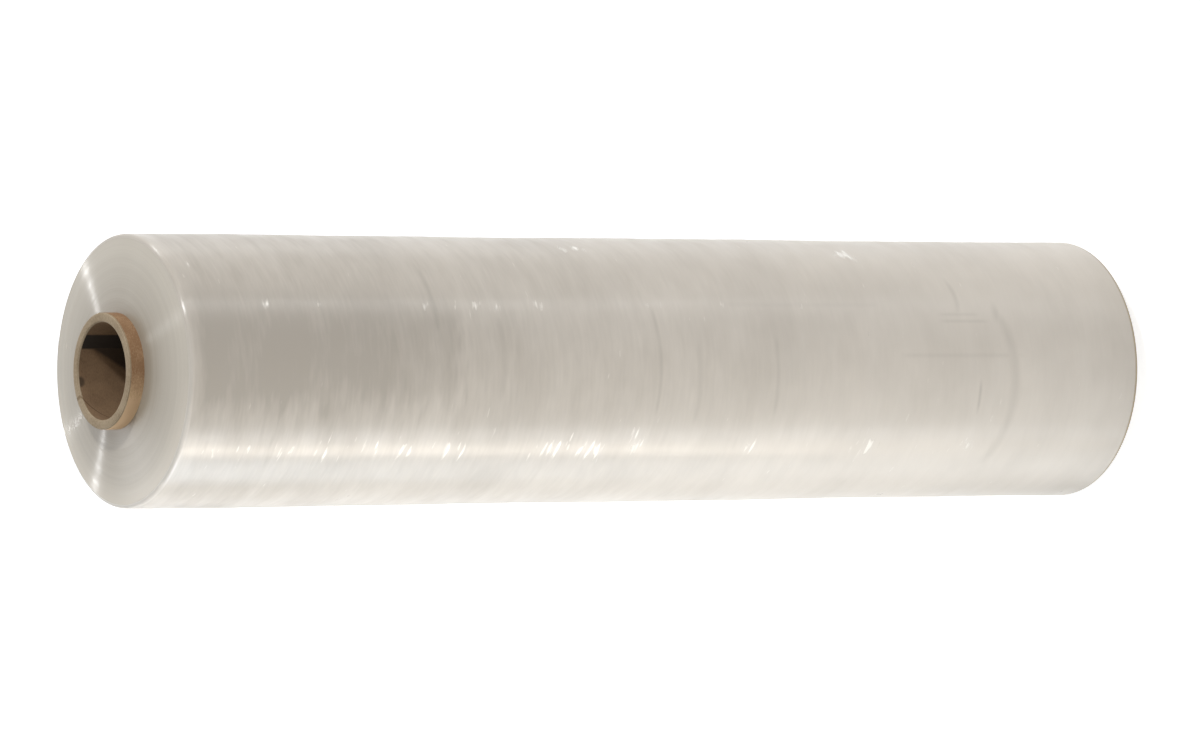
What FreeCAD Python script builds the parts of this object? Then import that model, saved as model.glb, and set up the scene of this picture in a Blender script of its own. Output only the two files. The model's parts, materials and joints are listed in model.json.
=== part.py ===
import FreeCAD, Part
import math
import os

# Hand roll of stretch film: clear film wound on a spiral-wound paper tube.
# It stands on end, with the tube's axis along +Z and its lower rim on z = 0.
# All sizes are in millimetres.

# Paper tube
TUBE_BORE = 38.1            # the inch-and-a-half bore that hand dispensers take
TUBE_WALL = 3.7
RIM_BEVEL = 0.6             # the knife's small bevel on the four cut edges

# Wound film
FILM_WIDTH = 457.0          # edge to edge, at the outermost turn
FILM_DIAMETER = 108.0       # over the outermost turn, where no gauge band thins it
TUBE_SHOWS = 9.3            # tube left bare beyond the outermost turn, at each end
CORNER_ROUND = 1.6          # where the side meets the wound ends

# How the turns lie
END_CROWN = 2.8             # the innermost turns stand this far out past the outermost
TURN_GROUPS = 8             # groups of turns that can be told apart on an end
GROUP_WANDER = 0.3          # how far a group has shifted along the tube
GROUP_SLOPE = 0.35          # radial width of the step from one group to the next
WANDER_PHASE = 2.4          # radians from one group to the next, so that no two repeat

# Gauge bands: the side is wound from film that is a little thick and thin across its width
BAND_STATIONS = 13          # rings that the side is drawn through
BAND_DEPTH = 0.35           # from the fullest ring to the thinnest
BAND_LONG_WAVES = 2.3       # broad swells along the roll
BAND_SHORT_WAVES = 5.6      # narrower swells laid over them

# The loose end of the film, on the side that faces away
TAIL_STEP = 0.25            # the outermost turn's edge, pressed flat on the turn below
TAIL_ANGLE = 78.0           # degrees from +X
CUT_MARGIN = 3.0            # how far a cutting shape reaches past what it trims

TUBE_INNER = TUBE_BORE / 2
TUBE_OUTER = TUBE_INNER + TUBE_WALL
TUBE_LENGTH = FILM_WIDTH + 2 * TUBE_SHOWS
FILM_OUTER = FILM_DIAMETER / 2
FILM_BOTTOM = TUBE_SHOWS
FILM_TOP = FILM_BOTTOM + FILM_WIDTH
FULL_TURN = 360.0
QUARTERS = 4


def at(radius, height):
    """A point of a turned outline, in the plane that is spun about the axis."""
    return FreeCAD.Vector(radius, 0, height)


def spun(edges):
    """The solid that a closed outline makes when it is spun about the axis."""
    face = Part.Face(Part.Wire(edges))
    return face.revolve(FreeCAD.Vector(0, 0, 0), FreeCAD.Vector(0, 0, 1), FULL_TURN)


def line(start, end):
    return Part.LineSegment(start, end).toShape()


def corner_arc(start, corner, end):
    """A quarter arc from start to end, round the corner that it takes off."""
    centre = start + end - corner
    middle = centre + (corner - centre) * math.sqrt(0.5)
    return Part.Arc(start, middle, end).toShape()


def paper_tube():
    """The tube, with a small bevel on each of its four cut edges."""
    bevel = RIM_BEVEL
    outline = [
        at(TUBE_INNER + bevel, 0),
        at(TUBE_OUTER - bevel, 0),
        at(TUBE_OUTER, bevel),
        at(TUBE_OUTER, TUBE_LENGTH - bevel),
        at(TUBE_OUTER - bevel, TUBE_LENGTH),
        at(TUBE_INNER + bevel, TUBE_LENGTH),
        at(TUBE_INNER, TUBE_LENGTH - bevel),
        at(TUBE_INNER, bevel),
    ]
    return spun([line(a, b) for a, b in zip(outline, outline[1:] + outline[:1])])


def side_radius(height):
    """The wound side's radius at a height, with the film's thick and thin bands."""
    share = (height - FILM_BOTTOM) / FILM_WIDTH
    broad = math.cos(2 * math.pi * BAND_LONG_WAVES * share)
    narrow = math.cos(2 * math.pi * BAND_SHORT_WAVES * share)
    return FILM_OUTER - BAND_DEPTH * (0.5 - 0.3 * broad - 0.2 * narrow)


def turn_outline(radius, height):
    """The outermost turn seen from above: four arcs that close in on the step at the loose end."""
    tail = math.radians(TAIL_ANGLE)
    centre = FreeCAD.Vector(0, 0, height)
    start = centre + FreeCAD.Vector(math.cos(tail), math.sin(tail), 0) * radius
    first = start
    edges = []
    for quarter in range(QUARTERS):
        arc_radius = radius - TAIL_STEP * quarter / QUARTERS
        angles = [tail + math.pi / 2 * (quarter + part) for part in (0.5, 1.0)]
        middle, end = [centre + FreeCAD.Vector(math.cos(a), math.sin(a), 0) * arc_radius for a in angles]
        edges.append(Part.Arc(start, middle, end).toShape())
        outward = (end - centre) / arc_radius
        centre = centre + outward * (TAIL_STEP / QUARTERS)
        start = end
    edges.append(line(start, first))
    return Part.Wire(edges)


def wound_side():
    """A plain round of film with the loose end and the gauge bands, longer than the roll at both ends."""
    low = FILM_BOTTOM - END_CROWN - CUT_MARGIN
    high = FILM_TOP + END_CROWN + CUT_MARGIN
    heights = [low + (high - low) * n / (BAND_STATIONS - 1) for n in range(BAND_STATIONS)]
    outlines = [turn_outline(side_radius(height), height) for height in heights]
    return Part.makeLoft(outlines, True, True)


def end_points():
    """Radius, crown and wander along a wound end, two points to a group of turns, from the tube outwards."""
    reach = FILM_OUTER - CORNER_ROUND - TUBE_OUTER
    pitch = reach / TURN_GROUPS
    points = []
    for group in range(TURN_GROUPS):
        wander = GROUP_WANDER * math.sin(WANDER_PHASE * group)
        inner = TUBE_OUTER + group * pitch + (GROUP_SLOPE / 2 if group else 0)
        outer = TUBE_OUTER + (group + 1) * pitch - (GROUP_SLOPE / 2 if group < TURN_GROUPS - 1 else 0)
        for radius in (inner, outer):
            share = (radius - TUBE_OUTER) / reach
            points.append((radius, END_CROWN * (1 - share), wander))
    return points


def end_trim():
    """What the wound ends are trimmed to: a crowned end above and below, and the bore for the tube."""
    over = FILM_OUTER - CORNER_ROUND
    out = over + CORNER_ROUND + CUT_MARGIN
    drop = CORNER_ROUND + CUT_MARGIN
    points = end_points()
    top = [at(radius, FILM_TOP + crown + wander) for radius, crown, wander in points]
    bottom = [at(radius, FILM_BOTTOM - crown + wander) for radius, crown, wander in points]
    top_shoulder, bottom_shoulder = top[-1], bottom[-1]
    top_out = at(out, top_shoulder.z - drop)
    bottom_out = at(out, bottom_shoulder.z + drop)
    edges = [line(a, b) for a, b in zip(bottom, bottom[1:])]
    edges.append(corner_arc(bottom_shoulder, at(out, bottom_shoulder.z), bottom_out))
    edges.append(line(bottom_out, top_out))
    edges.append(corner_arc(top_out, at(out, top_shoulder.z), top_shoulder))
    edges += [line(b, a) for a, b in reversed(list(zip(top, top[1:])))]
    edges.append(line(top[0], bottom[0]))
    return spun(edges)


def film_roll():
    """All the turns of film, as one solid that fits on the tube."""
    return wound_side().common(end_trim())


os.makedirs("parts", exist_ok=True)
pieces = {"paper_tube": paper_tube(), "film_roll": film_roll()}
for name, shape in pieces.items():
    assert len(shape.Solids) == 1 and shape.isValid(), f"{name} isn't one valid solid"
    solid = shape.Solids[0]
    solid.exportStep(f"parts/{name}.step")
    print(f"{name}: {solid.Volume / 1000:.1f} cm3, {solid.BoundBox.ZLength:.1f} mm long")
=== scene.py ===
import bpy
import json
import math
from mathutils import Matrix, Vector


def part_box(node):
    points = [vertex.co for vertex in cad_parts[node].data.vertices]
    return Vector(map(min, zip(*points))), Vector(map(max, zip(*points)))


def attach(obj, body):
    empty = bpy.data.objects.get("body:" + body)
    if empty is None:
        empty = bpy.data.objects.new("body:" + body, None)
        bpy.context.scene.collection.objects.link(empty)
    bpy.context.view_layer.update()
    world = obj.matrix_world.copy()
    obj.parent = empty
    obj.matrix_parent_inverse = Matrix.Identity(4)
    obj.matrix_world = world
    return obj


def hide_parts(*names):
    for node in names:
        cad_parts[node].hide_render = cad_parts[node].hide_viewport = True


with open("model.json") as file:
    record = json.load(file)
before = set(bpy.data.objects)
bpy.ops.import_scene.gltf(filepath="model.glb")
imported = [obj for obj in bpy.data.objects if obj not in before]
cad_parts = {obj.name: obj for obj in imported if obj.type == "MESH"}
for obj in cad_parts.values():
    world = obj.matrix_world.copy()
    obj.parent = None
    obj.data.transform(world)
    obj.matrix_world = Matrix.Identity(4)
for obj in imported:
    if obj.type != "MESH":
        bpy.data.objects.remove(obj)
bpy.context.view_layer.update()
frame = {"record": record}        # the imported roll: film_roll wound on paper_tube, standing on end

mm = 0.001


# Helpers

def linear(hexColour):  # an sRGB hex colour as the linear colour that sockets take
    parts = [int(hexColour[i:i + 2], 16) / 255 for i in (1, 3, 5)]
    return [p / 12.92 if p <= 0.04045 else ((p + 0.055) / 1.055) ** 2.4 for p in parts] + [1.0]


def addNode(tree, kind, settings=None, links=None):  # a node with its settings, and what feeds its inputs
    node = tree.nodes.new("ShaderNode" + kind)
    for name, value in (settings or {}).items():
        if isinstance(name, str) and name[0].islower():
            setattr(node, name, value)
        else:
            node.inputs[name].default_value = value
    for name, source in (links or {}).items():
        tree.links.new(source, node.inputs[name])
    return node


def startMaterial(name):
    material = bpy.data.materials.new(name)
    material.use_nodes = True
    material.node_tree.nodes.clear()
    return material, material.node_tree


def smoothStep(low, high, x):
    t = min(max((x - low) / (high - low), 0.0), 1.0)
    return t * t * (3 - 2 * t)


def ripple(x, waves, shift=0.0):  # a sum of sines: each wave is (length, phase in turns, height)
    return sum(height * math.sin(2 * math.pi * (x / length + phase + shift))
               for length, phase, height in waves)


def buildTurned(name, profile, columns, place, materials):
    # profile rows of (radius, height, material slot), spun through the columns, and place puts each point
    rows = len(profile)
    points = [place(radius, height, column) for radius, height, _ in profile for column in range(columns)]
    faces, slots = [], []
    for row in range(rows):
        low, high = row * columns, (row + 1) % rows * columns
        for column in range(columns):
            after = (column + 1) % columns
            faces.append((low + column, low + after, high + after, high + column))
            slots.append(profile[row][2])
    mesh = bpy.data.meshes.new(name)
    mesh.from_pydata(points, [], faces)
    for material in materials:
        mesh.materials.append(material)
    mesh.polygons.foreach_set("material_index", slots)
    mesh.polygons.foreach_set("use_smooth", [True] * len(faces))
    mesh.update()
    piece = bpy.data.objects.new(name, mesh)
    bpy.context.scene.collection.objects.link(piece)
    return piece


# What the frame gives, in millimetres
filmLow, filmHigh = [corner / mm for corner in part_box("film_roll")]
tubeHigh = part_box("paper_tube")[1] / mm
boreRadius = next(m for m in frame["record"]["mounts"] if m["name"] == "core_bore")["dims"]["r_mm"]
tubeRadius = tubeHigh.x
filmRadius = max(filmHigh.x, filmHigh.y, -filmLow.x, -filmLow.y)


# Camera: the photo's view, from above one end, with the roll turned to lie across the picture
camera = {
    "elevation": 33.3,      # degrees above the roll's waist
    "distance": 2745.8,     # mm to the point that it aims at
    "aimHeight": 244.1,     # mm up the axis
    "aimSide": 0.35,        # mm off the axis, to picture up
    "lean": 0.14,           # degrees that the axis slopes up to the right in the picture
    "lens": 202.6,          # mm
    "sensor": 36.0,         # mm wide
    "clip": (0.05, 50.0),   # m: what it sees, from and to
}


def setCamera(c):
    data = bpy.data.cameras.new("photoCamera")
    data.lens, data.sensor_width, data.sensor_fit = c["lens"], c["sensor"], "HORIZONTAL"
    data.clip_start, data.clip_end = c["clip"]
    up, back = math.sin(math.radians(c["elevation"])), math.cos(math.radians(c["elevation"]))
    turn = Matrix(((0, 1, 0), (-up, 0, -back), (-back, 0, up)))  # picture up is +X, picture left up the roll
    turn = turn @ Matrix.Rotation(math.radians(-c["lean"]), 3, "Z")
    cameraObject = bpy.data.objects.new("photoCamera", data)
    bpy.context.scene.collection.objects.link(cameraObject)
    aim = Vector((c["aimSide"], 0, c["aimHeight"]))
    place = (aim + Vector((0, -back, up)) * c["distance"]) * mm
    cameraObject.matrix_world = Matrix.Translation(place) @ turn.to_4x4()
    bpy.context.scene.camera = cameraObject


setCamera(camera)
print("camera set")


# Floor, surroundings and lamps
studio = {
    "floorSize": 12.0,      # m
    "floorTone": "#ECECEC",
    "floorLift": 0.7,       # white that the camera and mirrors see on top of the floor's own light
    "skyTone": "#FFFFFF",
    "skyLight": 0.42,       # how much the plain white room lights, though it's seen full white
    "softboxFrom": 300,     # mm: a lamp wider than this is a softbox
    "softboxEdge": 0.9,     # share of a softbox's width that fades out
    "lampEdge": 0.02,       # and of a small lamp's
    "sheetGap": 1.0,        # mm from the floor to the first glow sheet, and from each to the next
}
# compass: degrees from the camera's side round to picture up. height: degrees above the roll's upper end.
# far, wide and tall are in mm, and bright is how many times as bright as white paper a lamp looks.
lamps = [
    {"name": "keyLamp", "compass": 57, "height": 36, "far": 1500, "wide": 120, "tall": 120, "bright": 190},
    {"name": "sideSoftbox", "compass": -84, "height": -14, "far": 1000, "wide": 840, "tall": 460,
     "bright": 3.6, "tone": "#EBF5FF"},
    {"name": "fillSoftbox", "compass": 111, "height": 6, "far": 1600, "wide": 500, "tall": 900,
     "bright": 2.5},
    {"name": "endSoftbox", "compass": -163, "height": 36, "far": 1800, "wide": 560, "tall": 1100,
     "bright": 0.8},
    {"name": "edgeLampA", "compass": 170.8, "height": 13.1, "far": 1800, "wide": 14, "tall": 80,
     "bright": 150},
    {"name": "edgeLampB", "compass": -175.6, "height": 11.5, "far": 1800, "wide": 10, "tall": 60,
     "bright": 60},
    {"name": "edgeLampC", "compass": -168.6, "height": 15.3, "far": 1800, "wide": 14, "tall": 80,
     "bright": 190},
    {"name": "edgeLampD", "compass": 165.4, "height": 53.5, "far": 1800, "wide": 14, "tall": 80,
     "bright": 90},
]
# Light sheets that lie on the table and widen outwards, so that the side mirrors each as an even band.
# band: degrees from the camera's side to where it shows. spread: its width in degrees round the compass.
glowSheets = [
    {"name": "broadGlow", "band": -31, "spread": 36, "from": 12, "to": 1400, "near": 1.8, "far": 9.0},
    {"name": "bandGlow", "band": -35, "spread": 13, "from": 12, "to": 1400, "near": 1.0, "far": 24.0,
     "curve": "SMOOTHSTEP", "tone": "#FFF6EA"},
    {"name": "lowerGlow", "band": -66, "spread": 60, "from": 12, "to": 1400, "near": 0.6, "far": 3.2},
    {"name": "upperGlow", "band": 29, "spread": 4, "from": 12, "to": 1400, "near": 2.0, "far": 9.0},
]


def seenRays(tree):  # 1 for rays of the camera and of mirrors, also through something clear, and else 0
    path = addNode(tree, "LightPath")
    seen = addNode(tree, "Math", {"operation": "MAXIMUM"},
                   {0: path.outputs["Is Camera Ray"], 1: path.outputs["Is Glossy Ray"]})
    return addNode(tree, "Math", {"operation": "MAXIMUM"},
                   {0: seen.outputs[0], 1: path.outputs["Is Transmission Ray"]}).outputs[0]


def whiteFloor(s):
    material, tree = startMaterial("whitePaperSweep")
    lift = addNode(tree, "Math", {"operation": "MULTIPLY", 1: s["floorLift"]}, {0: seenRays(tree)})
    paper = addNode(tree, "BsdfDiffuse", {"Color": linear(s["floorTone"])})
    glow = addNode(tree, "Emission", {"Color": linear("#FFFFFF")}, {"Strength": lift.outputs[0]})
    both = addNode(tree, "AddShader", None, {0: paper.outputs[0], 1: glow.outputs[0]})
    addNode(tree, "OutputMaterial", None, {"Surface": both.outputs[0]})
    return material


def layFloor(s):
    half = s["floorSize"] / 2
    mesh = bpy.data.meshes.new("floor")
    mesh.from_pydata([(-half, -half, 0), (half, -half, 0), (half, half, 0), (-half, half, 0)], [],
                     [(0, 1, 2, 3)])
    mesh.materials.append(whiteFloor(s))
    floor = bpy.data.objects.new("floor", mesh)
    bpy.context.scene.collection.objects.link(floor)


def lightRoom(s):
    world = bpy.data.worlds.new("whiteRoom")
    world.use_nodes = True
    tree = world.node_tree
    tree.nodes.clear()
    strength = addNode(tree, "MapRange", {"To Min": s["skyLight"], "To Max": 1.0},
                       {"Value": seenRays(tree)})
    sky = addNode(tree, "Background", {"Color": linear(s["skyTone"])}, {"Strength": strength.outputs[0]})
    addNode(tree, "OutputWorld", None, {"Surface": sky.outputs[0]})
    bpy.context.scene.world = world


def areaLamp(lamp, s):
    wide, tall = lamp["wide"], lamp["tall"]
    soft = s["softboxEdge"] if wide > s["softboxFrom"] else s["lampEdge"]
    data = bpy.data.lights.new(lamp["name"], "AREA")
    data.shape = "RECTANGLE"
    data.size, data.size_y = wide * mm, tall * mm
    data.energy = lamp["bright"] * math.pi * wide * tall * mm * mm
    data.color = linear(lamp.get("tone", "#FFFFFF"))[:3]
    data.use_nodes = True
    tree = data.node_tree
    tree.nodes.clear()
    spot = addNode(tree, "SeparateXYZ", None, {0: addNode(tree, "NewGeometry").outputs["Parametric"]})
    edges = []
    for axis in ("X", "Y"):
        off = addNode(tree, "Math", {"operation": "SUBTRACT", 1: 0.5}, {0: spot.outputs[axis]})
        near = addNode(tree, "Math", {"operation": "ABSOLUTE"}, {0: off.outputs[0]})
        edge = addNode(tree, "MapRange",
                       {"interpolation_type": "SMOOTHSTEP", "From Min": 0.5, "From Max": 0.5 - soft / 2,
                        "To Max": 1.0 / (1.0 - soft / 2)}, {"Value": near.outputs[0]})
        edges.append(edge)
    both = addNode(tree, "Math", {"operation": "MULTIPLY"}, {0: edges[0].outputs[0], 1: edges[1].outputs[0]})
    glow = addNode(tree, "Emission", None, {"Strength": both.outputs[0]})
    addNode(tree, "OutputLight", None, {"Surface": glow.outputs[0]})
    lampObject = bpy.data.objects.new(lamp["name"], data)
    lampObject.visible_camera = False
    bpy.context.scene.collection.objects.link(lampObject)
    return lampObject


def compassWay(compass, height=0.0):
    turn, rise = math.radians(compass), math.radians(height)
    return Vector((math.sin(turn) * math.cos(rise), -math.cos(turn) * math.cos(rise), math.sin(rise)))


def hangLamp(lamp, s):
    lampObject = areaLamp(lamp, s)
    away = compassWay(lamp["compass"], lamp["height"])
    upperEnd = Vector((0, 0, tubeHigh.z))
    side = Vector((0, 0, 1)).cross(away).normalized()
    turn = Matrix((side, away.cross(side), away)).transposed()
    lampObject.matrix_world = Matrix.Translation((upperEnd + away * lamp["far"]) * mm) @ turn.to_4x4()


def glowingSheet(g, start):     # lit on its upper face, brighter away from the roll, and soft along its sides
    material, tree = startMaterial(g["name"])
    geometry = addNode(tree, "NewGeometry")
    outwards, sideways = compassWay(2 * g["band"]), compassWay(2 * g["band"] + 90)
    away = addNode(tree, "VectorMath", {"operation": "SUBTRACT", 1: start * mm},
                   {0: geometry.outputs["Position"]})
    reach = addNode(tree, "VectorMath", {"operation": "DOT_PRODUCT", 1: outwards}, {0: away.outputs[0]})
    aside = addNode(tree, "VectorMath", {"operation": "DOT_PRODUCT", 1: sideways}, {0: away.outputs[0]})
    turn = addNode(tree, "Math", {"operation": "DIVIDE"},
                   {0: aside.outputs["Value"], 1: reach.outputs["Value"]})
    off = addNode(tree, "Math", {"operation": "ABSOLUTE"}, {0: turn.outputs[0]})
    edge = addNode(tree, "MapRange",
                   {"interpolation_type": "SMOOTHSTEP", "From Max": 0.0,
                    "From Min": math.tan(math.radians(g["spread"] / 2))}, {"Value": off.outputs[0]})
    bright = addNode(tree, "MapRange",
                     {"interpolation_type": g.get("curve", "LINEAR"), "From Min": g["from"] * mm,
                      "From Max": g["to"] * mm, "To Min": g["near"], "To Max": g["far"]},
                     {"Value": reach.outputs["Value"]})
    above = addNode(tree, "Math", {"operation": "SUBTRACT", 0: 1.0}, {1: geometry.outputs["Backfacing"]})
    shown = addNode(tree, "Math", {"operation": "MULTIPLY"}, {0: above.outputs[0], 1: edge.outputs[0]})
    glow = addNode(tree, "Emission", {"Color": linear(g.get("tone", "#FFFFFF"))},
                   {"Strength": bright.outputs[0]})
    clear = addNode(tree, "BsdfTransparent")
    both = addNode(tree, "MixShader", None, {0: shown.outputs[0], 1: clear.outputs[0], 2: glow.outputs[0]})
    addNode(tree, "OutputMaterial", None, {"Surface": both.outputs[0]})
    return material


def layGlowSheet(g, level):
    start = compassWay(g["band"]) * filmRadius
    start.z = level
    corners = []
    for reach, side in ((g["from"], -1), (g["from"], 1), (g["to"], 1), (g["to"], -1)):
        corners.append((start + compassWay(2 * g["band"] + side * g["spread"] / 2) * reach) * mm)
    mesh = bpy.data.meshes.new(g["name"])
    mesh.from_pydata(corners, [], [(0, 1, 2, 3)])
    if mesh.polygons[0].normal.z < 0:
        mesh.flip_normals()
    mesh.materials.append(glowingSheet(g, start))
    sheet = bpy.data.objects.new(g["name"], mesh)
    sheet.visible_camera, sheet.visible_shadow = False, False
    bpy.context.scene.collection.objects.link(sheet)


layFloor(studio)
lightRoom(studio)
for lamp in lamps:
    hangLamp(lamp, studio)
for count, sheet in enumerate(glowSheets):
    layGlowSheet(sheet, studio["sheetGap"] * (1 + count))
print("floor and lamps set")


# Wound film
filmShape = {       # mm
    "crown": 2.8,           # the innermost turns stand this far out past the outermost
    "cornerRound": 1.6,
    "cornerSteps": 7,
    "groups": 8,            # groups of turns that can be told apart on an end
    "groupWander": 0.02,
    "groupPhase": 2.4,
    "rowsInGroup": 8,
    "bandDepth": 0.35,      # thick and thin bands along the side
    "bands": [(2.3, 0.3), (5.6, 0.2)],  # swells: how many fit along the roll, and their share of that depth
    "sideWaves": [(31.0, 0.1, 0.05), (17.3, 0.4, 0.035), (9.7, 0.7, 0.022), (6.1, 0.2, 0.013)],
    "sideWaveSum": 0.12,    # the waves of the side together
    "sideDip": 0.06,        # how far they take the side inwards, on average
    "sideDrift": 0.06,      # turns that they drift on their way round
    "endWaves": [(7.3, 0.3, 0.016), (3.1, 0.6, 0.006), (1.9, 0.1, 0.003)],
    "endDrift": 0.05,
    "endPlain": 2.0,        # beside the tube the turns lie plain
    "rimPlain": (1.0, 0.5),     # and from this far inside the rounded corner's start to this far outside it
    "sharpFrom": 50,        # degrees: an edge that turns more than this is sharp
    "tailAngle": 78.0,      # degrees from +X to the loose end
    "tailStep": 0.25,
    "tailWaves": [(190.0, 0.2, 1.4), (67.0, 0.6, 0.6), (23.0, 0.1, 0.25)],  # how far its edge strays
    "sideRows": 290,
    "columns": 161,
}


def filmProfile(f):
    # the outline of the wound film, from the bore up, as (radius, height, slot): slot 0 is side, 1 cut edges
    width = filmHigh.z - filmLow.z - 2 * f["crown"]
    low, high = filmLow.z + f["crown"], filmHigh.z - f["crown"]
    reach = filmRadius - f["cornerRound"] - tubeRadius
    end = []
    rows = f["groups"] * f["rowsInGroup"]
    for row in range(rows + 1):
        share = row / rows
        group = min(int(share * f["groups"]), f["groups"] - 1)
        wander = f["groupWander"] * math.sin(f["groupPhase"] * group)
        end.append((tubeRadius + reach * share, f["crown"] * (1 - share), wander))
    corner = []
    for step in range(1, f["cornerSteps"]):
        a = math.pi / 2 * step / f["cornerSteps"]
        corner.append((filmRadius - f["cornerRound"] * (1 - math.sin(a)),
                       f["cornerRound"] * (1 - math.cos(a))))
    profile = [(radius, low - rise + wander, 1) for radius, rise, wander in end]
    shift = end[-1][2]
    profile += [(radius, low + drop + shift, 0) for radius, drop in corner]
    start, stop = low + f["cornerRound"] + shift, high - f["cornerRound"] + shift
    profile += [(filmRadius, start + (stop - start) * n / f["sideRows"], 0) for n in range(f["sideRows"] + 1)]
    profile += [(radius, high - drop + shift, 0) for radius, drop in reversed(corner)]
    profile += [(radius, high + rise + wander, 1) for radius, rise, wander in reversed(end)]
    return profile, low, width


def windFilm(f, materials):
    profile, low, width = filmProfile(f)
    turns = f["columns"] - 1
    rim = filmRadius - f["cornerRound"]
    rimInside, rimOutside = f["rimPlain"]
    (broadCount, broadShare), (narrowCount, narrowShare) = f["bands"]

    def place(radius, height, column):
        turn = column / turns
        outer = smoothStep(tubeRadius + f["endPlain"], filmRadius, radius)
        stray = outer * ripple(height, f["tailWaves"])
        angle = math.radians(f["tailAngle"] + stray) + 2 * math.pi * turn
        share = (height - low) / width
        broad = math.cos(2 * math.pi * broadCount * share)
        narrow = math.cos(2 * math.pi * narrowCount * share)
        thin = f["bandDepth"] * (0.5 - broadShare * broad - narrowShare * narrow)
        r = radius - outer * (thin + f["tailStep"] * turn)
        wave = ripple(height, f["sideWaves"], f["sideDrift"] * math.sin(angle)) / f["sideWaveSum"]
        r -= smoothStep(rim, filmRadius, radius) * f["sideDip"] * (1 + wave)
        across = smoothStep(tubeRadius, tubeRadius + f["endPlain"], radius)
        across *= 1 - smoothStep(rim - rimInside, rim + rimOutside, radius)
        upperEnd = height > low + width / 2     # its waves are half a wave on from the lower end's
        lift = across * ripple(radius, f["endWaves"], f["endDrift"] * math.sin(angle + 1) + 0.5 * upperEnd)
        return (r * math.cos(angle) * mm, r * math.sin(angle) * mm, (height + lift) * mm)

    piece = buildTurned("wound_film", profile, f["columns"], place, materials)
    piece.data.set_sharp_from_angle(angle=math.radians(f["sharpFrom"]))
    markGlintCreases(piece, creases)
    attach(piece, "root")
    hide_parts("film_roll")


# Clusters of short tight creases, which the film side paints near white as glints: mm up the roll, degrees
# round it from the camera's side, half their length and half their height in mm, and their strength
creases = [
    (361, -35, 12, 6, 0.6), (345, -36, 14, 7, 0.7), (293, -35, 11, 7, 0.95), (278, -36, 7, 6, 1.05),
    (256, -34, 5, 6, 1.15), (201, -36, 4, 6, 1.0), (143, -35, 5, 7, 1.0), (93, -35, 4, 5, 1.0),
    (454, -36, 9, 5, 0.6), (436, -36, 9, 5, 0.75), (420, -35, 7, 5, 0.6), (404, -37, 10, 5, 0.7),
    (384, -34, 12, 6, 0.55),
    (428, 29, 6, 3, 0.65), (408, 29, 4, 2.5, 0.7), (355, 29, 6, 3, 0.7), (338, 29, 12, 3, 0.7),
    (322, 28, 7, 3, 0.7),
    (305, 29, 5, 3, 0.8), (256, 29, 7, 3, 0.8), (216, 29, 4, 3, 0.8), (178, 28, 4, 3, 0.8),
    (271, 65, 6, 4, 1.0),
    (140, 62, 7, 5, 1.35), (210, 100, 30, 12, 0.8), (330, 150, 22, 14, 0.8), (120, -150, 26, 12, 0.8),
    (390, -110, 24, 14, 0.8), (70, 120, 14, 9, 0.8),
]
creaseReach = 2     # half lengths from a cluster's middle to where it has died out


def markGlintCreases(piece, spots):
    values = []
    for vertex in piece.data.vertices:
        x, y, z = vertex.co / mm
        bearing = math.degrees(math.atan2(x, -y))
        mark = 0.0
        for height, place, long, tall, strength in spots:
            along = (z - height) / long
            if abs(along) < creaseReach:
                across = ((bearing - place + 180) % 360 - 180) * math.pi / 180 * filmRadius / tall
                mark = max(mark, strength * math.exp(-along * along - across * across))
        values.append(mark)
    attribute = piece.data.attributes.new("crease", "FLOAT", "POINT")
    attribute.data.foreach_set("value", values)


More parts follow.
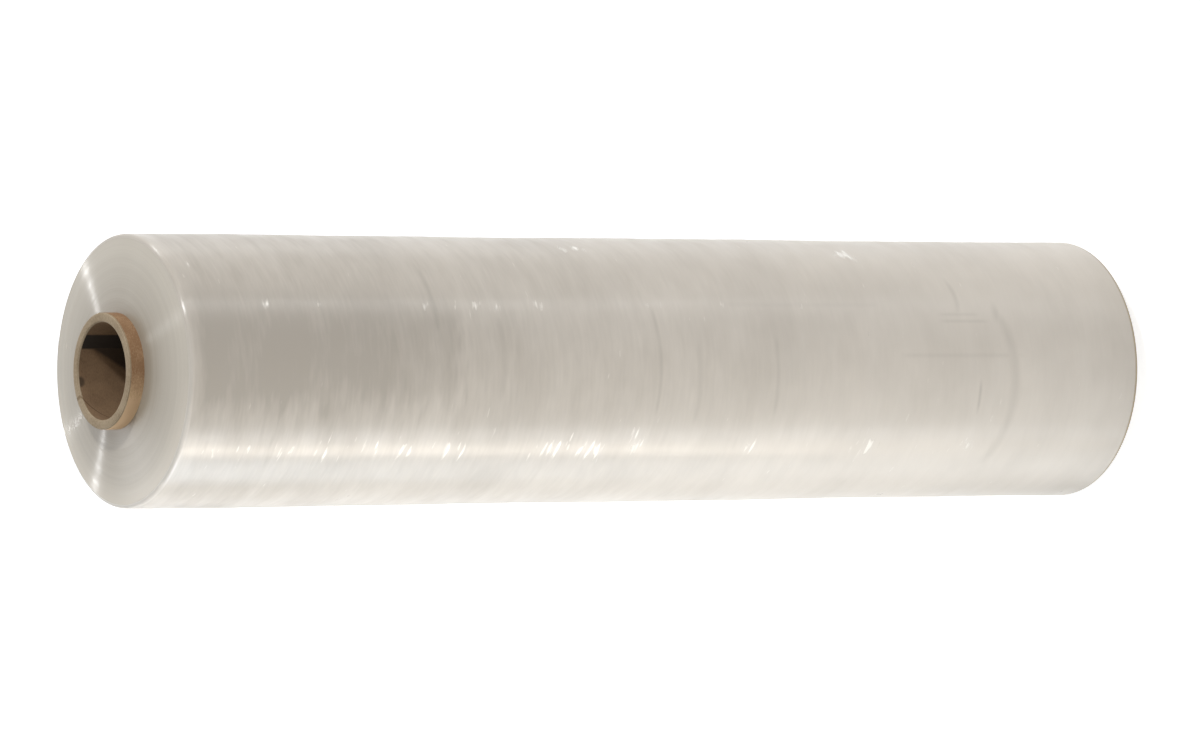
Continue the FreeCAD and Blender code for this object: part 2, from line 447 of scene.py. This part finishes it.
filmFinish = {
    "milky": "#E2D9CC",         # where a little air is trapped between the turns
    "clear": "#A89F92",         # where the turns cling and wet out
    "paintedRimReflection": "#A08A60",       # painted reflection: the brown tube, seen in the lowest turns' corner
    "corner": "#F2ECE2",        # painted light: the last turns' corner, painted paler where light comes through it
    "litFrom": 20,              # mm off the axis: the corner is lit from here
    "litTo": -25,               # and fully from here
    "litShare": (0.1, 0.7),     # how much of its colour shows, from and to
    "litBelow": (2.2, 0.5),     # mm under the upper edge: likewise
    "cornerMilky": (9, 1),      # mm under the upper edge: milky again, from and to
    "cornerShare": -0.18,       # what that adds to how clear it is
    "paintedRimReflectionSpan": (-1, 1.6, 0.6),    # mm up from the lower edge: the painted reflection from and to, and its soft edge
    "inner": "#A79E8F",         # cut edges beside the tube, painted darker and warmer as shade there
    "outer": "#D8D0C1",         # cut edges at the rim, painted paler for light that comes in there
    "paintedRimLight": "#F4EAD8",       # painted light: paler still at the rim's lower side, where light comes through too
    "rimLights": (42, 55),      # mm from the axis: it sets in here and is full here
    "rimLitAcross": (0, -25),   # mm off the axis: likewise
    "rimLitShare": 0.55,
    "sideRoughness": (0.28, 0.38),
    "spotRoughness": 0.17,      # short tight wrinkles, which glint
    "edgeRoughness": (0.20, 0.23),
    "paintedGlint": "#F6F0E6",      # painted glint: a tight crease, painted near white where it glints
    "fineStreak": (1.3, 11.0),  # mm along the roll, mm round it
    "broadStreak": (5.0, 20.0),
    "mottle": (42.0, 46.0),
    "crease": (1.9, 9.0),
    "creaseSlant": 0.15,        # mm along the roll for each mm across it
    "creaseEdge": (0.76, 0.9),  # noise and cluster together: from plain film to crease
    "clusterWeight": 0.3,
    "fineHeight": 0.012,        # mm
    "broadHeight": 0.018,
    # painted shade: a darker patch on the camera's side, for a dark reflection there: mm up the roll, mm off
    # the axis, and how far its edges stray
    "paintedDarkPatch": {"from": 344, "to": 462, "low": -13, "high": 27, "strayAlong": 14, "strayAcross": 24,
                 "softAlong": 3, "softAcross": 8},
    "topShadeFrom": 50,           # mm up the roll: above this, painted shade makes the film clearer and darker, more and more
    "paintedTopShade": (-0.1, 0.52),      # how clear that painted shade makes it, there and at the upper edge
    "smoothTo": 120,            # mm up the roll: streaks are faint below this
    "streakyFrom": 400,         # and full above this
    "faintStreaks": 0.3,
    "noiseSpan": (0.3, 0.7),    # where nearly all values of a noise lie
    # how much each thing adds to how clear a spot is
    "broadWeight": 0.36,
    "fineWeight": 0.26,
    "streakShift": -0.31,       # so that the streaks add nothing on average
    "mottleWeight": 0.6,
    "darkPatchWeight": 0.24,
    # faint dark rings where a turn slackens: mm up the roll, mm off the axis from and to, bow, width, shade
    "holdLines": [(250, -17, 24, 0.002, 1.6, 0.17), (193, -17, 12, 0.001, 1.8, 0.14),
                  (324, -10, 20, 0.002, 2.4, 0.12), (231, -20, 10, 0.001, 2.4, 0.12),
                  (73, -38, 22, 0.006, 4.0, 0.17), (91, -17, -6, 0.0, 1.2, 0.32),
                  (98, 24, 36, 0.02, 2.0, 0.2), (80, 20, 26, 0.0, 3.0, 0.22),
                  (353, 16, 40, 0.004, 2.0, 0.16)],
    # faint lines along the roll, where the film was wound with a pleat: mm off the axis, mm up the roll from
    # and to, width, shade
    "pleatLines": [(22.5, 90, 108, 1.2, 0.14), (19.7, 86, 108, 1.2, 0.14), (5.6, 70, 130, 1.6, 0.1),
                   (26.2, 140, 214, 1.6, 0.07)],
    "lineEnds": 3,              # mm over which such a line fades out
    "turnLine": 0.55,           # mm between the lines of the cut edges, drawn coarse enough to show
    "turnLength": 120,          # mm along which such a line keeps its shade
    "turnHeight": 0.006,        # mm
    "groupScale": 0.16,         # broader rings for each line
    "outwardShare": 0.9,        # how far the cut edges go from inner to outer colour
    "turnWeight": 0.22,         # how much the lines add to that
    "groupWeight": 0.3,         # and the broader rings
    "edgeSpan": (0.26, 1.2),    # from the inner colour to the outer one
}


def woundNoise(tree, place, along, around, slant=0.0, detail=2.0, offset=0.0):
    # noise that is drawn out round the roll. slant leans it, in mm along the roll for each mm across
    axes = addNode(tree, "SeparateXYZ", None, {0: place})
    lean = addNode(tree, "Math", {"operation": "MULTIPLY_ADD", 1: slant},
                   {0: axes.outputs["X"], 2: axes.outputs["Z"]})
    leaned = addNode(tree, "CombineXYZ", None,
                     {"X": axes.outputs["X"], "Y": axes.outputs["Y"], "Z": lean.outputs[0]})
    scaled = addNode(tree, "Mapping",
                     {"Scale": (1 / (around * mm), 1 / (around * mm), 1 / (along * mm)),
                      "Location": (offset, offset, offset)}, {"Vector": leaned.outputs[0]})
    return addNode(tree, "TexNoise", {"Scale": 1.0, "Detail": detail, "Roughness": 0.55},
                   {"Vector": scaled.outputs[0]}).outputs["Fac"]


def window(tree, source, low, high, soft):  # 1 between low and high, both in mm, with soft edges
    rise = addNode(tree, "MapRange",
                   {"interpolation_type": "SMOOTHSTEP", "From Min": (low - soft) * mm,
                    "From Max": (low + soft) * mm}, {"Value": source})
    fall = addNode(tree, "MapRange",
                   {"interpolation_type": "SMOOTHSTEP", "From Min": (high + soft) * mm,
                    "From Max": (high - soft) * mm}, {"Value": source})
    return addNode(tree, "Math", {"operation": "MULTIPLY"},
                   {0: rise.outputs[0], 1: fall.outputs[0]}).outputs[0]


def faintLines(tree, axes, f):
    # all the faint lines as one shade: rings that bow a little, and pleats that run along the roll
    rings = [("Z", "X", *ring) for ring in f["holdLines"]]
    pleats = [("X", "Z", across, low, high, 0.0, wide, shade)
              for across, low, high, wide, shade in f["pleatLines"]]
    total = None
    for over, run, centre, low, high, bow, wide, shade in rings + pleats:
        middle = (low + high) / 2
        along = addNode(tree, "Math", {"operation": "SUBTRACT", 1: middle * mm}, {0: axes.outputs[run]})
        square = addNode(tree, "Math", {"operation": "POWER", 1: 2.0}, {0: along.outputs[0]})
        line = addNode(tree, "Math", {"operation": "MULTIPLY_ADD", 1: bow / mm, 2: centre * mm},
                       {0: square.outputs[0]})
        off = addNode(tree, "Math", {"operation": "SUBTRACT"}, {0: axes.outputs[over], 1: line.outputs[0]})
        near = addNode(tree, "Math", {"operation": "ABSOLUTE"}, {0: off.outputs[0]})
        dark = addNode(tree, "MapRange",
                       {"interpolation_type": "SMOOTHSTEP", "From Min": wide * mm, "From Max": 0.0,
                        "To Max": shade}, {"Value": near.outputs[0]})
        kept = addNode(tree, "Math", {"operation": "MULTIPLY"},
                       {0: dark.outputs[0], 1: window(tree, axes.outputs[run], low, high, f["lineEnds"])})
        total = kept if total is None else addNode(tree, "Math", {"operation": "MAXIMUM"},
                                                   {0: total.outputs[0], 1: kept.outputs[0]})
    front = addNode(tree, "Math", {"operation": "LESS_THAN", 1: 0.0}, {0: axes.outputs["Y"]})
    return addNode(tree, "Math", {"operation": "MULTIPLY"},
                   {0: total.outputs[0], 1: front.outputs[0]}).outputs[0]


# Linear low-density polyethylene, cast as a thin clear film and wound under tension. Hundreds of turns
# scatter the light to a milky grey with streaks round the roll. The fine lines of the turns draw each
# highlight out along the axis.
def filmSide(f):
    material, tree = startMaterial("LLDPEStretchFilmSide")
    place = addNode(tree, "TexCoord").outputs["Object"]
    axes = addNode(tree, "SeparateXYZ", None, {0: place})
    fine = woundNoise(tree, place, *f["fineStreak"])
    broad = woundNoise(tree, place, *f["broadStreak"], offset=7.0)
    mottle = woundNoise(tree, place, *f["mottle"], detail=3.0, offset=3.0)

    # painted shade: the darker patch on the camera's side, for a dark reflection there, with streaky edges
    patch = f["paintedDarkPatch"]
    halfAlong, halfAcross = patch["strayAlong"] / 2, patch["strayAcross"] / 2
    strayAlong = addNode(tree, "Math", {"operation": "MULTIPLY_ADD", 1: patch["strayAlong"] * mm},
                         {0: broad, 2: axes.outputs["Z"]})
    darkPatchAlong = window(tree, strayAlong.outputs[0], patch["from"] + halfAlong, patch["to"] + halfAlong,
                      patch["softAlong"])
    strayUp = addNode(tree, "Math", {"operation": "MULTIPLY_ADD", 1: patch["strayAcross"] * mm},
                      {0: broad, 2: axes.outputs["X"]})
    darkPatchAcross = window(tree, strayUp.outputs[0], patch["low"] + halfAcross, patch["high"] + halfAcross,
                       patch["softAcross"])
    front = addNode(tree, "Math", {"operation": "LESS_THAN", 1: 0.0}, {0: axes.outputs["Y"]})
    darkPatch = addNode(tree, "Math", {"operation": "MULTIPLY"}, {0: darkPatchAlong, 1: darkPatchAcross})
    darkPatchFront = addNode(tree, "Math", {"operation": "MULTIPLY"}, {0: darkPatch.outputs[0], 1: front.outputs[0]})

    # how clear each spot is: painted shade makes it clearer and darker towards the upper end, and the last
    # turns' corner is milky again
    top = filmHigh.z - filmShape["crown"]
    topShadeLow, topShadeHigh = f["paintedTopShade"]
    paintedTopShade = addNode(tree, "MapRange",
                    {"From Min": f["topShadeFrom"] * mm, "From Max": top * mm, "To Min": topShadeLow,
                     "To Max": topShadeHigh}, {"Value": axes.outputs["Z"]})
    milkyFrom, milkyTo = f["cornerMilky"]
    corner = addNode(tree, "MapRange",
                     {"From Min": (top - milkyFrom) * mm, "From Max": (top - milkyTo) * mm,
                      "To Max": f["cornerShare"]}, {"Value": axes.outputs["Z"]})
    share = addNode(tree, "Math", {"operation": "ADD"}, {0: paintedTopShade.outputs[0], 1: corner.outputs[0]})
    lines = faintLines(tree, axes, f)
    streaky = addNode(tree, "MapRange",
                      {"From Min": f["smoothTo"] * mm, "From Max": f["streakyFrom"] * mm,
                       "To Min": f["faintStreaks"]}, {"Value": axes.outputs["Z"]}).outputs[0]
    streaks = addNode(tree, "Math", {"operation": "MULTIPLY_ADD", 1: f["broadWeight"], 2: f["streakShift"]},
                      {0: broad})
    streaks = addNode(tree, "Math", {"operation": "MULTIPLY_ADD", 1: f["fineWeight"]},
                      {0: fine, 2: streaks.outputs[0]})
    streaks = addNode(tree, "Math", {"operation": "MULTIPLY"}, {0: streaks.outputs[0], 1: streaky})
    parts = ((mottle, f["mottleWeight"]), (streaks.outputs[0], 1.0), (darkPatchFront.outputs[0], f["darkPatchWeight"]),
             (lines, 1.0))
    for part, weight in parts:
        share = addNode(tree, "Math", {"operation": "MULTIPLY_ADD", 1: weight},
                        {0: part, 2: share.outputs[0]})
    clear = addNode(tree, "Clamp", None, {"Value": share.outputs[0]})
    colour = addNode(tree, "Mix", {"data_type": "RGBA", 6: linear(f["milky"]), 7: linear(f["clear"])},
                     {0: clear.outputs[0]})
    low = filmLow.z + filmShape["crown"]
    # painted reflection: a brownish line on the lowest turns' corner, for the brown tube seen in the film's
    # edge
    rimReflectionFrom, rimReflectionTo, rimReflectionSoft = f["paintedRimReflectionSpan"]
    rim = window(tree, axes.outputs["Z"], low + rimReflectionFrom, low + rimReflectionTo, rimReflectionSoft)
    paintedLightColour = addNode(tree, "Mix", {"data_type": "RGBA", 7: linear(f["paintedRimReflection"])},
                     {0: rim, 6: colour.outputs[2]})
    # painted light: the upper corner painted paler, most towards −X, where light comes through it
    litLeast, litMost = f["litShare"]
    litStart, litFull = f["litBelow"]
    towards = addNode(tree, "MapRange",
                      {"From Min": f["litFrom"] * mm, "From Max": f["litTo"] * mm, "To Min": litLeast,
                       "To Max": litMost}, {"Value": axes.outputs["X"]})
    lit = addNode(tree, "MapRange", {"From Min": (top - litStart) * mm, "From Max": (top - litFull) * mm},
                  {"Value": axes.outputs["Z"], "To Max": towards.outputs[0]})
    paintedLightColour = addNode(tree, "Mix", {"data_type": "RGBA", 7: linear(f["corner"])},
                     {0: lit.outputs[0], 6: paintedLightColour.outputs[2]})

    # painted glints: clusters of short creases, painted near white where they glint, and glossier than the
    # rest
    spots = addNode(tree, "Attribute", {"attribute_name": "crease"})
    slash = woundNoise(tree, place, *f["crease"], slant=f["creaseSlant"], detail=1.0, offset=11.0)
    nearSpot = addNode(tree, "Math", {"operation": "MULTIPLY_ADD", 1: f["clusterWeight"]},
                       {0: spots.outputs["Fac"], 2: slash})
    plainTo, creaseFrom = f["creaseEdge"]
    crease = addNode(tree, "MapRange", {"From Min": plainTo, "From Max": creaseFrom},
                     {"Value": nearSpot.outputs[0]})
    plain = addNode(tree, "MapRange",
                    {"From Min": f["noiseSpan"][0], "From Max": f["noiseSpan"][1],
                     "To Min": f["sideRoughness"][0], "To Max": f["sideRoughness"][1]}, {"Value": broad})
    gloss = addNode(tree, "Mix", {"data_type": "FLOAT", 3: f["spotRoughness"]},
                    {0: crease.outputs[0], 2: plain.outputs[0]})
    paint = addNode(tree, "Mix", {"data_type": "RGBA", 7: linear(f["paintedGlint"])},
                    {0: crease.outputs[0], 6: paintedLightColour.outputs[2]})
    height = addNode(tree, "Math", {"operation": "MULTIPLY", 1: f["fineHeight"]}, {0: fine})
    height = addNode(tree, "Math", {"operation": "MULTIPLY_ADD", 1: f["broadHeight"]},
                     {0: broad, 2: height.outputs[0]})
    height = addNode(tree, "Math", {"operation": "MULTIPLY"}, {0: height.outputs[0], 1: streaky})
    bump = addNode(tree, "Bump", {"Strength": 1.0, "Distance": mm}, {"Height": height.outputs[0]})

    tangent = addNode(tree, "Tangent", {"direction_type": "RADIAL", "axis": "Z"})
    shader = addNode(tree, "BsdfPrincipled",
                     {"IOR": 1.51, "Specular IOR Level": 1.0, "Anisotropic": 0.95,
                      "Anisotropic Rotation": 0.25, "Coat Weight": 0.15, "Coat Roughness": 0.3},
                     {"Base Color": paint.outputs[2], "Roughness": gloss.outputs[0],
                      "Normal": bump.outputs[0], "Tangent": tangent.outputs[0]})
    addNode(tree, "OutputMaterial", None, {"Surface": shader.outputs[0]})
    return material


# The same film seen on its slit edges: satin and milky, with painted shade that darkens it beside the tube
# and painted light that makes it paler at the rim, and fine rings where the turns lie, which draw each
# highlight out into a narrow streak from the tube to the rim
def filmEdges(f):
    material, tree = startMaterial("LLDPEStretchFilmCutEdges")
    place = addNode(tree, "TexCoord").outputs["Object"]
    axes = addNode(tree, "SeparateXYZ", None, {0: place})
    flat = addNode(tree, "CombineXYZ", None, {"X": axes.outputs["X"], "Y": axes.outputs["Y"]})
    radius = addNode(tree, "VectorMath", {"operation": "LENGTH"}, {0: flat.outputs[0]}).outputs["Value"]
    around = addNode(tree, "VectorMath", {"operation": "SCALE", "Scale": 1 / (f["turnLength"] * mm)},
                     {0: place})
    along = addNode(tree, "SeparateXYZ", None, {0: around.outputs[0]})
    ringHeight = addNode(tree, "Math", {"operation": "MULTIPLY", 1: 1 / (f["turnLine"] * mm)}, {0: radius})
    ringPlace = addNode(tree, "CombineXYZ", None,
                        {"X": along.outputs["X"], "Y": along.outputs["Y"], "Z": ringHeight.outputs[0]})
    rings = addNode(tree, "TexNoise", {"Scale": 1.0, "Detail": 2.0, "Roughness": 0.5},
                    {"Vector": ringPlace.outputs[0]})
    groupPlace = addNode(tree, "VectorMath", {"operation": "SCALE", "Scale": f["groupScale"]},
                         {0: ringPlace.outputs[0]})
    groups = addNode(tree, "TexNoise", {"Scale": 1.0, "Detail": 1.0}, {"Vector": groupPlace.outputs[0]})
    # painted shade and light: darker beside the tube, paler towards the rim
    outwards = addNode(tree, "MapRange",
                       {"From Min": tubeRadius * mm, "From Max": filmRadius * mm,
                        "To Max": f["outwardShare"]}, {"Value": radius})
    shareRings = addNode(tree, "Math", {"operation": "MULTIPLY_ADD", 1: f["turnWeight"]},
                         {0: rings.outputs["Fac"], 2: outwards.outputs[0]})
    shareGroups = addNode(tree, "Math", {"operation": "MULTIPLY_ADD", 1: f["groupWeight"], "use_clamp": True},
                          {0: groups.outputs["Fac"], 2: shareRings.outputs[0]})
    innerAt, outerAt = f["edgeSpan"]
    shifted = addNode(tree, "MapRange", {"From Min": innerAt, "From Max": outerAt},
                      {"Value": shareGroups.outputs[0]})
    colour = addNode(tree, "Mix", {"data_type": "RGBA", 6: linear(f["inner"]), 7: linear(f["outer"])},
                     {0: shifted.outputs[0]})
    # painted light: the rim's lower side, towards −X, painted paler
    (near, far), (start, stop) = f["rimLights"], f["rimLitAcross"]
    rim = addNode(tree, "MapRange",
                  {"interpolation_type": "SMOOTHSTEP", "From Min": near * mm, "From Max": far * mm},
                  {"Value": radius})
    below = addNode(tree, "MapRange",
                    {"From Min": start * mm, "From Max": stop * mm, "To Max": f["rimLitShare"]},
                    {"Value": axes.outputs["X"]})
    lit = addNode(tree, "Math", {"operation": "MULTIPLY"}, {0: rim.outputs[0], 1: below.outputs[0]})
    colour = addNode(tree, "Mix", {"data_type": "RGBA", 7: linear(f["paintedRimLight"])},
                     {0: lit.outputs[0], 6: colour.outputs[2]})
    gloss = addNode(tree, "MapRange",
                    {"From Min": f["noiseSpan"][0], "From Max": f["noiseSpan"][1],
                     "To Min": f["edgeRoughness"][0], "To Max": f["edgeRoughness"][1]},
                    {"Value": groups.outputs["Fac"]})
    bump = addNode(tree, "Bump", {"Strength": 1.0, "Distance": f["turnHeight"] * mm},
                   {"Height": rings.outputs["Fac"]})
    tangent = addNode(tree, "Tangent", {"direction_type": "RADIAL", "axis": "Z"})
    shader = addNode(tree, "BsdfPrincipled",
                     {"IOR": 1.51, "Specular IOR Level": 1.0, "Anisotropic": 1.0,
                      "Anisotropic Rotation": 0.25},
                     {"Base Color": colour.outputs[2], "Roughness": gloss.outputs[0],
                      "Normal": bump.outputs[0], "Tangent": tangent.outputs[0]})
    addNode(tree, "OutputMaterial", None, {"Surface": shader.outputs[0]})
    return material


windFilm(filmShape, [filmSide(filmFinish), filmEdges(filmFinish)])
print("film wound")


# Kraft board tube
tubeShape = {"rimRound": 0.8, "arcRows": 5, "wallRows": 12, "columns": 144}
tubeFinish = {
    "outside": ("#D6B48C", "#8E6C4C"),
    "inside": ("#967A5C", "#6C543C"),
    "cut": ("#B9A78C", "#8A765C"),
    "darkStripAndShadow": "#241A10",     # a near-black strip that runs down the bore; the same colour paints the shadow that widens from it and a small dark spot
    "darkStripFrom": 27.0,      # degrees from +Y towards +X
    "darkStripTo": 48.0,
    "darkStripSoft": 1.2,       # degrees: its soft edge
    "spreadSoft": 3,        # times that: the soft edge of the painted shadow
    "paintedShadowWidens": 1.65,   # degrees that the painted shadow widens for each mm down the bore, below the first ones
    "paintedShadowFrom": 6.0,     # mm down the bore before the painted shadow starts to widen
    "spreadShade": 0.88,    # how dark the painted shadow is
    "rimDarkSpot": (-12.5, 0.9, 2.0),    # degrees, mm down the bore and mm in radius: a small dark spot at its rim
    "rimDarkSpotFades": (1.4, 0.7),      # of its radius: from nothing to full
    "rimDarkSpotShade": 0.7,
    "paintedLightSpan": (3.0, -20.0),       # mm off the axis: painted light, from the darker to the paler side of the outer wall
    "paintedLightShade": (0.24, -0.5),      # what each adds to the darker colour, as painted shade and light
    "plyLead": 62.0,        # mm that the wound strips climb in one turn
    "seamWidth": 0.7,       # mm
    "fibre": (0.9, 0.35),   # mm long and wide
    "plyThickness": 0.46,   # mm
    "blotch": 9,            # mm
    # how much each adds to the darker colour, and the sum's span from the paler colour to it
    "fibreWeight": 0.55,
    "blotchWeight": 0.45,
    "plyWeight": 0.14,
    "boardSpan": (0.3, 0.75),
    "boardHeight": 0.06,    # mm
}


def tubeProfile(t):
    # clockwise from the bottom of the outer wall. slot, for the strip that starts there: 0 outside, 1 inside,
    # 2 cut rim
    soft, top = t["rimRound"], tubeHigh.z
    arc = [math.pi / 2 * n / t["arcRows"] for n in range(t["arcRows"] + 1)]
    rises = [soft + (top - 2 * soft) * n / t["wallRows"] for n in range(1, t["wallRows"])]
    profile = [(tubeRadius - soft * (1 - math.cos(a)), soft * (1 - math.sin(a)),
                2 if a else 0) for a in reversed(arc)]
    profile += [(tubeRadius, rise, 0) for rise in rises]
    profile += [(tubeRadius - soft * (1 - math.cos(a)), top - soft * (1 - math.sin(a)), 2) for a in arc]
    profile += [(boreRadius + soft * (1 - math.cos(a)), top - soft * (1 - math.sin(a)),
                 2 if a else 1) for a in reversed(arc)]
    profile += [(boreRadius, top - rise, 1) for rise in rises]
    profile += [(boreRadius + soft * (1 - math.cos(a)), soft * (1 - math.sin(a)), 2) for a in arc]
    return profile


# Kraft board, wound in spiral strips and glued: brown, matt and fibrous, with a seam that climbs round it
def kraftBoard(name, colours, f, plies=False, withDarkStripAndShadow=False, lightPaintedOnSide=False):
    material, tree = startMaterial(name)
    place = addNode(tree, "TexCoord").outputs["Object"]
    axes = addNode(tree, "SeparateXYZ", None, {0: place})
    long, wide = f["fibre"]
    fibrePlace = addNode(tree, "Mapping", {"Scale": (1 / (long * mm), 1 / (long * mm), 1 / (wide * mm))},
                         {"Vector": place})
    fibres = addNode(tree, "TexNoise", {"Scale": 1.0, "Detail": 3.0, "Roughness": 0.6},
                     {"Vector": fibrePlace.outputs[0]})
    blotches = addNode(tree, "TexNoise", {"Scale": 1 / (f["blotch"] * mm), "Detail": 2.0}, {"Vector": place})
    turn = addNode(tree, "Math", {"operation": "ARCTAN2"}, {0: axes.outputs["Y"], 1: axes.outputs["X"]})
    turns = addNode(tree, "Math", {"operation": "MULTIPLY", 1: 1 / (2 * math.pi)}, {0: turn.outputs[0]})
    climb = addNode(tree, "Math", {"operation": "MULTIPLY_ADD", 1: 1 / (f["plyLead"] * mm)},
                    {0: axes.outputs["Z"], 2: turns.outputs[0]})
    lap = addNode(tree, "Math", {"operation": "FRACT"}, {0: climb.outputs[0]})
    seamShare = f["seamWidth"] / f["plyLead"]
    seam = addNode(tree, "MapRange", {"From Min": seamShare, "From Max": 0.0}, {"Value": lap.outputs[0]})
    mixed = addNode(tree, "Math", {"operation": "MULTIPLY_ADD", 1: f["fibreWeight"]},
                    {0: fibres.outputs["Fac"], 2: seam.outputs[0]})
    both = addNode(tree, "Math", {"operation": "MULTIPLY_ADD", 1: f["blotchWeight"]},
                   {0: blotches.outputs["Fac"], 2: mixed.outputs[0]})
    share = both.outputs[0]
    if plies:
        flat = addNode(tree, "CombineXYZ", None, {"X": axes.outputs["X"], "Y": axes.outputs["Y"]})
        radius = addNode(tree, "VectorMath", {"operation": "LENGTH"}, {0: flat.outputs[0]})
        layer = addNode(tree, "Math", {"operation": "MULTIPLY", 1: 2 * math.pi / (f["plyThickness"] * mm)},
                        {0: radius.outputs["Value"]})
        line = addNode(tree, "Math", {"operation": "SINE"}, {0: layer.outputs[0]})
        share = addNode(tree, "Math", {"operation": "MULTIPLY_ADD", 1: f["plyWeight"]},
                        {0: line.outputs[0], 2: share}).outputs[0]
    # painted light: the outer wall painted paler towards −X, where light falls, and darker towards +X
    if lightPaintedOnSide:
        (dark, pale), (darker, paler) = f["paintedLightSpan"], f["paintedLightShade"]
        side = addNode(tree, "MapRange",
                       {"interpolation_type": "SMOOTHSTEP", "From Min": dark * mm, "From Max": pale * mm,
                        "To Min": darker, "To Max": paler}, {"Value": axes.outputs["X"]})
        share = addNode(tree, "Math", {"operation": "ADD"}, {0: side.outputs[0], 1: share}).outputs[0]
    paleAt, darkAt = f["boardSpan"]
    mix = addNode(tree, "MapRange", {"From Min": paleAt, "From Max": darkAt}, {"Value": share})
    colour = addNode(tree, "Mix", {"data_type": "RGBA", 6: linear(colours[0]), 7: linear(colours[1])},
                     {0: mix.outputs[0]})
    paint = colour.outputs[2]
    # a near-black strip down the bore, a painted shadow of the rim that widens from it deeper down, and a
    # small dark spot at the rim
    if withDarkStripAndShadow:
        bearing = addNode(tree, "Math", {"operation": "ARCTAN2"},
                          {0: axes.outputs["X"], 1: axes.outputs["Y"]})
        low, high, soft = [math.radians(f[edge]) for edge in ("darkStripFrom", "darkStripTo", "darkStripSoft")]
        rise = addNode(tree, "MapRange", {"From Min": low - soft, "From Max": low + soft},
                       {"Value": bearing.outputs[0]})
        fall = addNode(tree, "MapRange", {"From Min": high + soft, "From Max": high - soft},
                       {"Value": bearing.outputs[0]})
        strip = addNode(tree, "Math", {"operation": "MULTIPLY"}, {0: rise.outputs[0], 1: fall.outputs[0]})
        depth = addNode(tree, "Math", {"operation": "SUBTRACT", 0: (tubeHigh.z - f["paintedShadowFrom"]) * mm},
                        {1: axes.outputs["Z"]})
        widened = addNode(tree, "Math",
                          {"operation": "MULTIPLY_ADD", 1: math.radians(f["paintedShadowWidens"]) / mm},
                          {0: depth.outputs[0], 2: bearing.outputs[0]})
        spread = addNode(tree, "MapRange",
                         {"interpolation_type": "SMOOTHSTEP", "From Min": low - f["spreadSoft"] * soft,
                          "From Max": low + f["spreadSoft"] * soft, "To Max": f["spreadShade"]},
                         {"Value": widened.outputs[0]})
        run = addNode(tree, "Math", {"operation": "MULTIPLY"}, {0: spread.outputs[0], 1: fall.outputs[0]})
        darkStripAndShadow = addNode(tree, "Math", {"operation": "MAXIMUM"}, {0: strip.outputs[0], 1: run.outputs[0]})
        (turned, down, across), (fadeFrom, fadeTo) = f["rimDarkSpot"], f["rimDarkSpotFades"]
        spot = Vector((boreRadius * math.sin(math.radians(turned)),
                       boreRadius * math.cos(math.radians(turned)),
                       tubeHigh.z - down)) * mm
        away = addNode(tree, "VectorMath", {"operation": "DISTANCE", 1: spot}, {0: place})
        rimDarkSpot = addNode(tree, "MapRange",
                         {"interpolation_type": "SMOOTHSTEP", "From Min": across * fadeFrom * mm,
                          "From Max": across * fadeTo * mm, "To Max": f["rimDarkSpotShade"]},
                         {"Value": away.outputs["Value"]})
        darkStripAndShadow = addNode(tree, "Math", {"operation": "MAXIMUM"}, {0: darkStripAndShadow.outputs[0], 1: rimDarkSpot.outputs[0]})
        paint = addNode(tree, "Mix", {"data_type": "RGBA", 7: linear(f["darkStripAndShadow"])},
                        {0: darkStripAndShadow.outputs[0], 6: paint}).outputs[2]
    bump = addNode(tree, "Bump", {"Strength": 0.6, "Distance": f["boardHeight"] * mm}, {"Height": share})
    shader = addNode(tree, "BsdfPrincipled", {"Roughness": 0.82, "IOR": 1.5},
                     {"Base Color": paint, "Normal": bump.outputs[0]})
    addNode(tree, "OutputMaterial", None, {"Surface": shader.outputs[0]})
    return material


def rollTube(t, f):
    def place(radius, height, column):
        angle = 2 * math.pi * column / t["columns"]
        return (radius * math.cos(angle) * mm, radius * math.sin(angle) * mm, height * mm)

    materials = [kraftBoard("kraftBoardOutside", f["outside"], f, lightPaintedOnSide=True),
                 kraftBoard("kraftBoardInside", f["inside"], f, withDarkStripAndShadow=True),
                 kraftBoard("kraftBoardCutRim", f["cut"], f, plies=True)]
    piece = buildTurned("kraft_tube", tubeProfile(t), t["columns"], place, materials)
    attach(piece, "root")
    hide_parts("paper_tube")


rollTube(tubeShape, tubeFinish)
print("tube made")

bpy.context.scene.view_settings.view_transform = "Standard"
